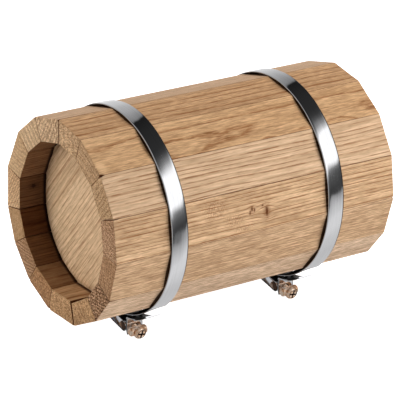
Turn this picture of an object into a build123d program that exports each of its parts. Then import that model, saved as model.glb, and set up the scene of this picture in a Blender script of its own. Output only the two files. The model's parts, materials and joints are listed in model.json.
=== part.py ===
"""A small straight-sided oak barrel: flat staves, heads let into a croze, two screw-clamped hoops.

The barrel lies along X with its front end at -X. Z is up, and Z = 0 is the level of the lowest
point of the two clamps. Angles round the barrel are clockwise from the top, seen from the front.
"""
import os
from math import cos, radians, sin

from build123d import *

os.makedirs("parts", exist_ok=True)

# Barrel
LENGTH = 220
CORNER_RADIUS = 70
WALL_THICKNESS = 16.6
FIRST_JOINT = -25
STAVE_SPANS = (25.5, 23, 24, 24, 24.5, 24.5, 21.5, 25.5, 26.5, 23.5, 23, 20.5, 24, 27, 23)
INNER_RADIUS = CORNER_RADIUS - WALL_THICKNESS

# Heads, let into a groove (the croze) near each end of the staves
HEAD_RECESS = 17.7
HEAD_THICKNESS = 10
HEAD_RIM = 4.4
HEAD_FACE_RADIUS = 46.5
HEAD_BEVEL_RADIUS = 51.7
CROZE_RADIUS = INNER_RADIUS + 3
HEAD_RADIUS = CROZE_RADIUS - 0.2
HEAD_SEAMS = (-70, -17, 21, 70)
FRONT_GRAIN = -47
REAR_GRAIN = 28
DOWEL_RADIUS = 2.5
DOWEL_LENGTH = 22
DOWEL_PLACES = (-24, 24)

# Bung, a tapered plug in the widest stave
BUNG_STAVE = 14
BUNG_LENGTH = 26
BUNG_PROUD = 6
BUNG_TOP_RADIUS = 9.5
BUNG_TIP_RADIUS = 7.8
BUNG_GAP = 0.15
BUNG_CHAMFER = 1

# Hoops: a flat steel strip each, a little slack towards its clamp
HOOP_PLACES = {"front": -63, "rear": 60.5}
HOOP_WIDTH = 12.5
STRIP = 0.8
HOOP_SLACK = 0.5
HOOP_CLEARANCE = 0.65
TONGUE_GAP = 0.15
WELD_GAP = 0.02
HOOP_RADIUS = CORNER_RADIUS + HOOP_CLEARANCE + STRIP / 2
OVERLAP_RADIUS = HOOP_RADIUS + STRIP + TONGUE_GAP
RETURN_RADIUS = OVERLAP_RADIUS + STRIP + WELD_GAP
TONGUE_END = 32
STEP_START = 58
STEP_END = 46
RETURN_JOIN = 14
RETURN_END = 21
RETURN_BEND = 13

# Clamp: distances along the screw are from the plane through the barrel's axis, and its tip is +
SCREW_TILT = 12
SCREW_OFFSET = 75.8
SCREW_RADIUS = 2.5
SCREW_TIP = -16
THREAD_GAP = 0.1
SCREW_HOLE_RADIUS = 2.85
NUT_PIN_PLACE = -26.6
NUT_PIN_RADIUS = 2.85
LOOP_RADIUS = SCREW_OFFSET - HOOP_SLACK - OVERLAP_RADIUS
HEAD_PIN_PLACE = -35.3
HEAD_PIN_RADIUS = 3.1
HEAD_PIN_SEAT = -37.6
SEAT_RADIUS = 4.8
PIN_FILLET = 1
SCREW_HEAD_RADIUS = 4.5
SCREW_HEAD_HEIGHT = 2.9
SCREW_HEAD_FILLET = 2.2
SCREW_HEAD_GAP = 0.05
PHILLIPS_LENGTH = 5
PHILLIPS_WIDTH = 1.3
PHILLIPS_DEPTH = 2
PHILLIPS_TAPER = 9
PHILLIPS_TURN = 12

# Hook lug, a strip welded to the hoop, with a sprung toe and a curl round the head pin
LUG_STRIP = 1
LUG_GAP = 0.3
LUG_LEAN = 13
LUG_CURL = 42
LUG_WALL = 8.2
LUG_HEEL_RADIUS = 1.3
LUG_HEEL_TURN = 85.5
LUG_FOOT_RADIUS = 49
LUG_FOOT_TURN = 29
WELD_RADIUS = 1.6
WELD_SPACING = 5.5
WELD_ANGLE = 27
WELD_DEPTH = 0.2
WELD_HEIGHT = 1.9

# The screw heads are the lowest things, and their rounded edge touches Z = 0
AXIS_HEIGHT = (
    (SCREW_OFFSET + SCREW_HEAD_RADIUS - SCREW_HEAD_FILLET) * cos(radians(SCREW_TILT))
    + (SCREW_HEAD_GAP - HEAD_PIN_SEAT + SCREW_HEAD_HEIGHT - SCREW_HEAD_FILLET) * sin(radians(SCREW_TILT))
    + SCREW_HEAD_FILLET
)

ALONG_SCREW = Vector(0, cos(radians(SCREW_TILT)), sin(radians(SCREW_TILT)))
OFF_BARREL = Vector(0, sin(radians(SCREW_TILT)), -cos(radians(SCREW_TILT)))


def on_ring(radius, angle):
    """A point on a ring in a section plane, its angle clockwise from the top seen from the front."""
    return (-radius * sin(radians(angle)), radius * cos(radians(angle)))


def section(x, turn=0):
    """A plane across the barrel: its own x is the row's +Y, turned towards +Z, and its normal is +X."""
    level = (0, cos(radians(turn)), sin(radians(turn)))
    return Plane(origin=(x, 0, AXIS_HEIGHT), x_dir=level, z_dir=(1, 0, 0))


def clamp_section(x):
    """A plane across a hoop: its own x runs along the screw, and its own y away from the barrel."""
    return Plane(origin=(x, 0, AXIS_HEIGHT), x_dir=ALONG_SCREW, z_dir=(-1, 0, 0))


def across_screw(x, place):
    """A plane across the screw at a place along it, with its normal towards the screw's tip."""
    origin = Vector(x, 0, AXIS_HEIGHT) + ALONG_SCREW * place + OFF_BARREL * SCREW_OFFSET
    return Plane(origin=origin, x_dir=(1, 0, 0), z_dir=ALONG_SCREW)


def radial_plane(x, angle, distance):
    """A plane at a distance from the barrel's axis, with its normal straight outwards."""
    y, z = on_ring(1, angle)
    return Plane(
        origin=(x, y * distance, AXIS_HEIGHT + z * distance), x_dir=(1, 0, 0), z_dir=(0, y, z)
    )


def save(piece, name):
    """Label a finished piece and write it as its own file."""
    piece.part.label = name
    export_step(piece.part, f"parts/{name}.step")


# Staves: flat outside and inside, with a joint face on each side that points at the axis
croze_inset = HEAD_RECESS + (HEAD_THICKNESS - HEAD_RIM) / 2
croze_starts = (croze_inset - LENGTH / 2, LENGTH / 2 - croze_inset - HEAD_RIM)
joints = [FIRST_JOINT + sum(STAVE_SPANS[:count]) for count in range(len(STAVE_SPANS) + 1)]
bung_angle = (joints[BUNG_STAVE - 1] + joints[BUNG_STAVE]) / 2
bung_face = CORNER_RADIUS * cos(radians(STAVE_SPANS[BUNG_STAVE - 1] / 2))
bung_tip_plane = radial_plane(0, bung_angle, bung_face + BUNG_PROUD - BUNG_LENGTH)

for number, (start, end) in enumerate(zip(joints, joints[1:]), 1):
    with BuildPart() as stave:
        with BuildSketch(section(-LENGTH / 2)):
            with BuildLine():
                Polyline(
                    on_ring(CORNER_RADIUS, start),
                    on_ring(CORNER_RADIUS, end),
                    on_ring(INNER_RADIUS, end),
                    on_ring(INNER_RADIUS, start),
                    close=True,
                )
            make_face()
        extrude(amount=LENGTH)
        for croze_start in croze_starts:
            with BuildSketch(section(croze_start)):
                Circle(CROZE_RADIUS)
            extrude(amount=HEAD_RIM, mode=Mode.SUBTRACT)
        if number == BUNG_STAVE:
            with BuildSketch(bung_tip_plane):
                Circle(BUNG_TIP_RADIUS + BUNG_GAP)
            with BuildSketch(bung_tip_plane.offset(BUNG_LENGTH)):
                Circle(BUNG_TOP_RADIUS + BUNG_GAP)
            loft(mode=Mode.SUBTRACT)
    save(stave, f"stave_{number:02d}")

with BuildPart() as bung:
    with BuildSketch(bung_tip_plane):
        Circle(BUNG_TIP_RADIUS)
    with BuildSketch(bung_tip_plane.offset(BUNG_LENGTH)):
        Circle(BUNG_TOP_RADIUS)
    loft()
    chamfer(bung.edges().filter_by(GeomType.CIRCLE), BUNG_CHAMFER)
save(bung, "bung")


# Heads: three boards each, edge-jointed on dowels, with both faces bevelled down to the croze
def head_boards(end_name, outer_face, inwards, grain):
    """Make one head's boards and dowels; inwards is +1 or -1 along X from the outer face."""
    across = section(outer_face, grain)
    bevel = (HEAD_THICKNESS - HEAD_RIM) / 2
    seams = HEAD_SEAMS[1:-1]
    middle = section(outer_face + inwards * HEAD_THICKNESS / 2, grain)
    dowel_spots = [
        Plane(
            origin=middle.from_local_coords((along, seam - DOWEL_LENGTH / 2)),
            x_dir=(1, 0, 0),
            z_dir=middle.y_dir,
        )
        for seam in seams
        for along in DOWEL_PLACES
    ]
    stations = (0, bevel, bevel + HEAD_RIM, HEAD_THICKNESS)
    face_x, rim_x, inner_rim_x, inner_x = [outer_face + inwards * station for station in stations]
    for board_number, (low, high) in enumerate(zip(HEAD_SEAMS, HEAD_SEAMS[1:]), 1):
        with BuildPart() as board:
            with BuildSketch(Plane.XZ):
                with BuildLine():
                    Polyline(
                        (face_x, AXIS_HEIGHT),
                        (face_x, AXIS_HEIGHT + HEAD_FACE_RADIUS),
                        (rim_x, AXIS_HEIGHT + HEAD_BEVEL_RADIUS),
                        (rim_x, AXIS_HEIGHT + HEAD_RADIUS),
                        (inner_rim_x, AXIS_HEIGHT + HEAD_RADIUS),
                        (inner_rim_x, AXIS_HEIGHT + HEAD_BEVEL_RADIUS),
                        (inner_x, AXIS_HEIGHT + HEAD_FACE_RADIUS),
                        (inner_x, AXIS_HEIGHT),
                        close=True,
                    )
                make_face()
            revolve(axis=Axis((0, 0, AXIS_HEIGHT), (1, 0, 0)))
            with BuildSketch(across):
                with Locations((0, (low + high) / 2)):
                    Rectangle(2 * CORNER_RADIUS, high - low)
            extrude(amount=HEAD_THICKNESS, both=True, mode=Mode.INTERSECT)
            for spot in dowel_spots:
                with BuildSketch(spot):
                    Circle(DOWEL_RADIUS)
                extrude(amount=DOWEL_LENGTH, mode=Mode.SUBTRACT)
        save(board, f"{end_name}_head_board_{board_number}")

    with BuildPart() as dowels:
        for spot in dowel_spots:
            with BuildSketch(spot):
                Circle(DOWEL_RADIUS)
            extrude(amount=DOWEL_LENGTH)
    save(dowels, f"{end_name}_head_dowels")


head_boards("front", HEAD_RECESS - LENGTH / 2, 1, FRONT_GRAIN)
head_boards("rear", LENGTH / 2 - HEAD_RECESS, -1, REAR_GRAIN)


# Hoops and clamps
def hoop_point(radius, angle):
    """A point in a clamp section, its angle from the clamp round towards the screw's tip."""
    return (radius * sin(radians(angle)), HOOP_SLACK + radius * cos(radians(angle)))


def hoop_tangent(angle):
    """The way round the hoop towards the clamp, for a point on the screw tip's side."""
    return (-cos(radians(angle)), sin(radians(angle)))


def weld_plane(x, angle, radius):
    """A plane that touches a ring of the hoop's own centre at an angle, facing away from the barrel."""
    origin = clamp_section(x).from_local_coords(hoop_point(radius, angle))
    outwards = OFF_BARREL * cos(radians(angle)) + ALONG_SCREW * sin(radians(angle))
    return Plane(origin=origin, x_dir=(1, 0, 0), z_dir=outwards)


def make_clamp(end_name, x):
    """Make one hoop with its hook lug, two cross pins and tightening screw."""
    with BuildPart() as hoop:
        with BuildSketch(clamp_section(x)):
            with BuildLine():
                CenterArc((0, HOOP_SLACK), HOOP_RADIUS, 90 - TONGUE_END, 360 + TONGUE_END - STEP_START)
                Spline(
                    hoop_point(HOOP_RADIUS, STEP_START),
                    hoop_point(OVERLAP_RADIUS, STEP_END),
                    tangents=(hoop_tangent(STEP_START), hoop_tangent(STEP_END)),
                )
                CenterArc((0, HOOP_SLACK), OVERLAP_RADIUS, 90 - STEP_END, STEP_END)
                strap = Line(hoop_point(OVERLAP_RADIUS, 0), (NUT_PIN_PLACE, HOOP_SLACK + OVERLAP_RADIUS))
                loop = CenterArc((NUT_PIN_PLACE, SCREW_OFFSET), LOOP_RADIUS, -90, -180)
                back = Line(loop @ 1, (-RETURN_BEND, SCREW_OFFSET + LOOP_RADIUS))
                Spline(
                    back @ 1,
                    hoop_point(RETURN_RADIUS, RETURN_JOIN),
                    tangents=((1, 0), (cos(radians(RETURN_JOIN)), -sin(radians(RETURN_JOIN)))),
                )
                CenterArc((0, HOOP_SLACK), RETURN_RADIUS, 90 - RETURN_JOIN, RETURN_JOIN - RETURN_END)
            trace(line_width=STRIP)
        extrude(amount=HOOP_WIDTH / 2, both=True)
        with BuildSketch(across_screw(x, NUT_PIN_PLACE - LOOP_RADIUS - STRIP)):
            Circle(SCREW_HOLE_RADIUS)
        extrude(amount=LOOP_RADIUS, mode=Mode.SUBTRACT)
        with BuildSketch(weld_plane(x, (RETURN_JOIN + RETURN_END) / 2, OVERLAP_RADIUS)):
            with GridLocations(WELD_SPACING, 1, 2, 1):
                Circle(WELD_RADIUS)
        extrude(amount=STRIP)
    save(hoop, f"{end_name}_hoop")

    with BuildPart() as lug:
        curl_radius = HEAD_PIN_RADIUS + LUG_GAP + LUG_STRIP / 2
        with BuildSketch(clamp_section(x)):
            with BuildLine():
                curl = CenterArc((HEAD_PIN_PLACE, SCREW_OFFSET), curl_radius, LUG_LEAN, LUG_CURL)
                down = (sin(radians(LUG_LEAN)), -cos(radians(LUG_LEAN)))
                wall = PolarLine(curl @ 0, LUG_WALL, direction=down)
                heel = JernArc(wall @ 1, down, LUG_HEEL_RADIUS, -LUG_HEEL_TURN)
                JernArc(heel @ 1, heel % 1, LUG_FOOT_RADIUS, LUG_FOOT_TURN)
            trace(line_width=LUG_STRIP)
        extrude(amount=HOOP_WIDTH / 2, both=True)
        with BuildSketch(across_screw(x, HEAD_PIN_PLACE)):
            Circle(SCREW_HOLE_RADIUS)
        extrude(amount=2 * curl_radius, mode=Mode.SUBTRACT)
        with BuildSketch(weld_plane(x, -WELD_ANGLE, HOOP_RADIUS + STRIP / 2 - WELD_DEPTH)):
            with GridLocations(WELD_SPACING, 1, 2, 1):
                Circle(WELD_RADIUS)
        extrude(amount=WELD_HEIGHT + WELD_DEPTH)
    save(lug, f"{end_name}_hook_lug")

    with BuildPart() as nut_pin:
        with BuildSketch(clamp_section(x)):
            with Locations((NUT_PIN_PLACE, SCREW_OFFSET)):
                Circle(NUT_PIN_RADIUS)
        extrude(amount=HOOP_WIDTH / 2, both=True)
        fillet(nut_pin.edges().filter_by(GeomType.CIRCLE), PIN_FILLET)
        with BuildSketch(across_screw(x, NUT_PIN_PLACE)):
            Circle(SCREW_RADIUS + THREAD_GAP)
        extrude(amount=NUT_PIN_RADIUS, both=True, mode=Mode.SUBTRACT)
    save(nut_pin, f"{end_name}_nut_pin")

    with BuildPart() as head_pin:
        with BuildSketch(clamp_section(x)):
            with Locations((HEAD_PIN_PLACE, SCREW_OFFSET)):
                Circle(HEAD_PIN_RADIUS)
        extrude(amount=HOOP_WIDTH / 2, both=True)
        fillet(head_pin.edges().filter_by(GeomType.CIRCLE), PIN_FILLET)
        with BuildSketch(across_screw(x, HEAD_PIN_PLACE)):
            Circle(SCREW_HOLE_RADIUS)
        extrude(amount=HEAD_PIN_RADIUS, both=True, mode=Mode.SUBTRACT)
        with BuildSketch(across_screw(x, HEAD_PIN_SEAT)):
            Circle(SEAT_RADIUS)
        extrude(amount=-HEAD_PIN_RADIUS, mode=Mode.SUBTRACT)
    save(head_pin, f"{end_name}_head_pin")

    with BuildPart() as screw:
        head_base = across_screw(x, HEAD_PIN_SEAT - SCREW_HEAD_GAP)
        with BuildSketch(head_base):
            Circle(SCREW_HEAD_RADIUS)
        extrude(amount=-SCREW_HEAD_HEIGHT)
        head_rim = screw.edges().filter_by(GeomType.CIRCLE).sort_by(Axis(head_base.origin, ALONG_SCREW))[0]
        fillet(head_rim, SCREW_HEAD_FILLET)
        with BuildSketch(head_base.offset(-SCREW_HEAD_HEIGHT)):
            Rectangle(PHILLIPS_LENGTH, PHILLIPS_WIDTH, rotation=PHILLIPS_TURN)
            Rectangle(PHILLIPS_WIDTH, PHILLIPS_LENGTH, rotation=PHILLIPS_TURN)
        extrude(amount=PHILLIPS_DEPTH, taper=PHILLIPS_TAPER, mode=Mode.SUBTRACT)
        with BuildSketch(head_base):
            Circle(SCREW_RADIUS)
        extrude(amount=SCREW_TIP - HEAD_PIN_SEAT + SCREW_HEAD_GAP)
        tip_edge = screw.edges().filter_by(GeomType.CIRCLE).sort_by(Axis(head_base.origin, ALONG_SCREW))[-1]
        chamfer(tip_edge, SCREW_RADIUS / 4)
    save(screw, f"{end_name}_screw")


for hoop_name, hoop_x in HOOP_PLACES.items():
    make_clamp(hoop_name, hoop_x)
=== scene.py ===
"""Looks for the small oak barrel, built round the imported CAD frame. Lengths are in metres.

Angles round the barrel are clockwise from the top, seen from the front end, which is at -X.
"""
import json
from math import atan2, cos, hypot, radians, remainder, sin, sqrt, tan, tau

import bmesh
import bpy
from mathutils import Matrix, Vector, noise


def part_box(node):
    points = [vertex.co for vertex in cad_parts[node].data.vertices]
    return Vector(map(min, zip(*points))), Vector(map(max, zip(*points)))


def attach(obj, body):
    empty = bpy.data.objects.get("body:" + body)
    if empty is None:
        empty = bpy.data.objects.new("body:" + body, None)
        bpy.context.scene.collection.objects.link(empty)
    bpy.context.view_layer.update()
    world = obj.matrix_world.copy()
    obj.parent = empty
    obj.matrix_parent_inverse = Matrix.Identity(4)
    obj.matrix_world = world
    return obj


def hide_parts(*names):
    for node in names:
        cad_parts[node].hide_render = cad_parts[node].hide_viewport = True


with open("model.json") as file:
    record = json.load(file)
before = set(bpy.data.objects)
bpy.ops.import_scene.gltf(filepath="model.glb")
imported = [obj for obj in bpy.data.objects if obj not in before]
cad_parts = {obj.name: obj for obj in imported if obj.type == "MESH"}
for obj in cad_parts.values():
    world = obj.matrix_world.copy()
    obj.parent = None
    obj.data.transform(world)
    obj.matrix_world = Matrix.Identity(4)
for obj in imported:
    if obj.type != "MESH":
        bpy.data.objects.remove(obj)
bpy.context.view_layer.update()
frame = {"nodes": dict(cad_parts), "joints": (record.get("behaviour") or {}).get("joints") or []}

MM = 0.001
STAVE_COUNT = 15
END_NAMES = ("front", "rear")

# Camera
VIEW_AZIMUTH = radians(33.7)
VIEW_ELEVATION = radians(20.56)
CAMERA_PLACE = Vector((-0.8753, -1.3115, 0.6700))
LENS = 225.1
SENSOR = 36.0


# ---------------------------------------------------------------- places read from the frame
def union_box(names):
    """Lowest and highest corners of several CAD nodes together."""
    boxes = [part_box(name) for name in names]
    low = Vector([min(box[0][axis] for box in boxes) for axis in range(3)])
    high = Vector([max(box[1][axis] for box in boxes) for axis in range(3)])
    return low, high


def board_names(end_name):
    """The three boards of one head."""
    return [f"{end_name}_head_board_{number}" for number in (1, 2, 3)]


head_low, head_high = union_box(board_names("front"))
AXIS = Vector((0, (head_low.y + head_high.y) / 2, (head_low.z + head_high.z) / 2))
HEAD_RADIUS = (head_high.y - head_low.y) / 2
CROZE_RADIUS = HEAD_RADIUS + 0.2 * MM


def joint_axis(name):
    """The axis of a named joint, as a unit vector."""
    return Vector(next(j["axis"] for j in frame["joints"] if j["name"] == name)).normalized()


def ring_point(radius, angle):
    """Row y and z of a point on a ring round the barrel's axis."""
    return Vector((AXIS.y - radius * sin(angle), AXIS.z + radius * cos(angle)))


def ring_angle(y, z):
    """Angle of a point round the barrel's axis."""
    return atan2(AXIS.y - y, z - AXIS.z)


# ---------------------------------------------------------------- mesh helpers
def linked(name, data):
    """A new object in the scene."""
    added = bpy.data.objects.new(name, data)
    bpy.context.scene.collection.objects.link(added)
    return added


def new_piece(name, mesh, body, slot, *replaced):
    """Add a finished mesh as a piece that rides on a body and stands for CAD nodes."""
    piece = linked(name, mesh)
    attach(piece, body)
    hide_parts(*replaced)


def shade(mesh, sharp_angle=35):
    """Smooth shading, with edges over an angle in degrees kept sharp."""
    for polygon in mesh.polygons:
        polygon.use_smooth = True
    mesh.set_sharp_from_angle(angle=radians(sharp_angle))


def quarter(steps, first=1):
    """The angles of the steps through a quarter of a turn."""
    return [radians(90 * step / steps) for step in range(first, steps + 1)]


def finished(part, name):
    """A mesh made of an edited one, which is let go."""
    mesh = bpy.data.meshes.new(name)
    part.to_mesh(mesh)
    part.free()
    return mesh


def joined(name, *meshes):
    """One mesh made of several."""
    part = bmesh.new()
    for mesh in meshes:
        part.from_mesh(mesh)
    return finished(part, name)


def mesh_from_loops(name, loops, sharp_angle=35):
    """A tube through closed loops of points with the same count, capped at both ends."""
    count = len(loops[0])
    vertices = [point for loop in loops for point in loop]
    faces = []
    for row in range(len(loops) - 1):
        base = row * count
        for index in range(count):
            after = (index + 1) % count
            faces.append((base + index, base + after, base + count + after, base + count + index))
    faces.append(tuple(reversed(range(count))))
    faces.append(tuple(range(len(vertices) - count, len(vertices))))
    mesh = bpy.data.meshes.new(name)
    mesh.from_pydata(vertices, [], faces)
    clean = bmesh.new()
    clean.from_mesh(mesh)
    bmesh.ops.recalc_face_normals(clean, faces=clean.faces)
    clean.to_mesh(mesh)
    clean.free()
    shade(mesh, sharp_angle)
    return mesh


def lathe(name, profile, origin, axis, segments=96, sharp_angle=35):
    """Turn a profile of (distance along, radius) pairs round an axis through origin."""
    axis = Vector(axis).normalized()
    side = axis.orthogonal().normalized()
    other = axis.cross(side)
    loops = []
    for along, radius in profile:
        centre = Vector(origin) + axis * along
        loop = []
        for step in range(segments):
            turn = tau * step / segments
            loop.append(centre + (side * cos(turn) + other * sin(turn)) * radius)
        loops.append(loop)
    return mesh_from_loops(name, loops, sharp_angle)


def cut(mesh, *cutters):
    """Subtract the cutter meshes from a mesh and return the result."""
    target = linked("cut_target", mesh)
    helpers = []
    for cutter in cutters:
        helper = linked("cutter", cutter)
        helpers.append(helper)
        boolean = target.modifiers.new("cut", "BOOLEAN")
        boolean.operation = "DIFFERENCE"
        boolean.solver = "EXACT"
        boolean.object = helper
    bpy.context.view_layer.update()
    evaluated = target.evaluated_get(bpy.context.evaluated_depsgraph_get())
    result = bpy.data.meshes.new_from_object(evaluated)
    result.name = mesh.name
    for helper in [target, *helpers]:
        bpy.data.objects.remove(helper)
    return result


def refined_copy(node, sharp_angle=30):
    """A welded, smooth-shaded copy of a CAD node's mesh."""
    mesh = frame["nodes"][node].data.copy()
    clean = bmesh.new()
    clean.from_mesh(mesh)
    bmesh.ops.remove_doubles(clean, verts=clean.verts, dist=1e-6)
    clean.to_mesh(mesh)
    clean.free()
    mesh.materials.clear()
    shade(mesh, sharp_angle)
    return mesh


# ---------------------------------------------------------------- material helpers
class Graph:
    """A short way to write a shader node tree."""

    def __init__(self, tree):
        self.tree = tree
        self.tree.nodes.clear()

    def add(self, kind, **settings):
        """A node of one kind, with its settings."""
        node = self.tree.nodes.new(kind)
        for key, value in settings.items():
            setattr(node, key, value)
        return node

    def feed(self, socket, source):
        """Link a socket to a source, or set its value."""
        if isinstance(source, bpy.types.NodeSocket):
            self.tree.links.new(source, socket)
        else:
            socket.default_value = source

    def math(self, operation, *sources, clamp=False):
        """The result of a Math node."""
        node = self.add("ShaderNodeMath", operation=operation, use_clamp=clamp)
        for socket, source in zip(node.inputs, sources):
            self.feed(socket, source)
        return node.outputs[0]

    def vector(self, operation, *sources):
        """The result of a Vector Math node: a value for dot products and lengths."""
        node = self.add("ShaderNodeVectorMath", operation=operation)
        for socket, source in zip(node.inputs, sources):
            self.feed(socket, source)
        return node.outputs[1 if operation in ("DOT_PRODUCT", "LENGTH") else 0]

    def combine(self, x, y, z):
        """A vector from three parts."""
        node = self.add("ShaderNodeCombineXYZ")
        for socket, source in zip(node.inputs, (x, y, z)):
            self.feed(socket, source)
        return node.outputs[0]

    def noise(self, vector, scale=1.0, detail=2.0, roughness=0.5):
        """A noise value from 0 to 1."""
        node = self.add("ShaderNodeTexNoise")
        self.feed(node.inputs["Vector"], vector)
        node.inputs["Scale"].default_value = scale
        node.inputs["Detail"].default_value = detail
        node.inputs["Roughness"].default_value = roughness
        return node.outputs[0]

    def spread(self, value, low, high, to_low=0.0, to_high=1.0, smooth=True):
        """Map a value from one range to another, clamped."""
        node = self.add("ShaderNodeMapRange")
        if smooth:
            node.interpolation_type = "SMOOTHSTEP"
        for socket, source in zip(node.inputs, (value, low, high, to_low, to_high)):
            self.feed(socket, source)
        return node.outputs[0]

    def mix(self, factor, first, second, blend="MIX"):
        """A mixed colour."""
        node = self.add("ShaderNodeMix", data_type="RGBA", blend_type=blend)
        self.feed(node.inputs["Factor"], factor)
        self.feed(node.inputs["A"], first)
        self.feed(node.inputs["B"], second)
        return next(s for s in node.outputs if s.type == "RGBA")

    def tint(self, factor, colour, tone):
        """A colour multiplied by a tone, as far as the factor says."""
        return self.mix(factor, colour, self.mix(1.0, colour, tone, "MULTIPLY"))

    def product(self, *sources):
        """The product of several values."""
        result = sources[0]
        for source in sources[1:]:
            result = self.math("MULTIPLY", result, source)
        return result

    def bump(self, height, strength, distance):
        """A bumped normal."""
        node = self.add("ShaderNodeBump")
        node.inputs["Strength"].default_value = strength
        node.inputs["Distance"].default_value = distance
        self.feed(node.inputs["Height"], height)
        return node.outputs[0]


def rgba(red, green, blue):
    """A colour with full alpha."""
    return (red, green, blue, 1.0)


def srgb(red, green, blue):
    """A linear colour from 8-bit display values."""
    return rgba(*[((v / 255 + 0.055) / 1.055) ** 2.4 for v in (red, green, blue)])


def new_material(name):
    """A material with a fresh node graph and a Principled shader at its end."""
    material = bpy.data.materials.new(name)
    material.use_nodes = True
    graph = Graph(material.node_tree)
    shader = graph.add("ShaderNodeBsdfPrincipled")
    output = graph.add("ShaderNodeOutputMaterial")
    graph.tree.links.new(shader.outputs[0], output.inputs[0])
    return material, graph, shader


PALE = srgb(222, 187, 150)
MIDDLE = srgb(203, 163, 122)
LINE = srgb(136, 86, 50)
PORE = srgb(108, 68, 40)
RAW = srgb(236, 196, 150)
KNOT = srgb(96, 48, 24)
DARK_KNOT = srgb(46, 20, 10)
# What darker parts of the wood multiply its colour by: pore rows on end grain, painted shade on the inner
# faces, painted gap shade with dirt on the joint sides, painted shade in the mouth of the croze and painted
# shadow under and beside the hoops
ROW_TINT = rgba(0.34, 0.27, 0.22)
INSIDE_SHADE_TINT = rgba(0.25, 0.155, 0.095)
JOINT_SHADE_AND_DIRT_TINT = rgba(0.24, 0.11, 0.05)
CROZE_SHADE_TINT = rgba(0.09, 0.04, 0.02)
HOOP_SHADOW_TINT = rgba(0.09, 0.05, 0.03)


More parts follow.
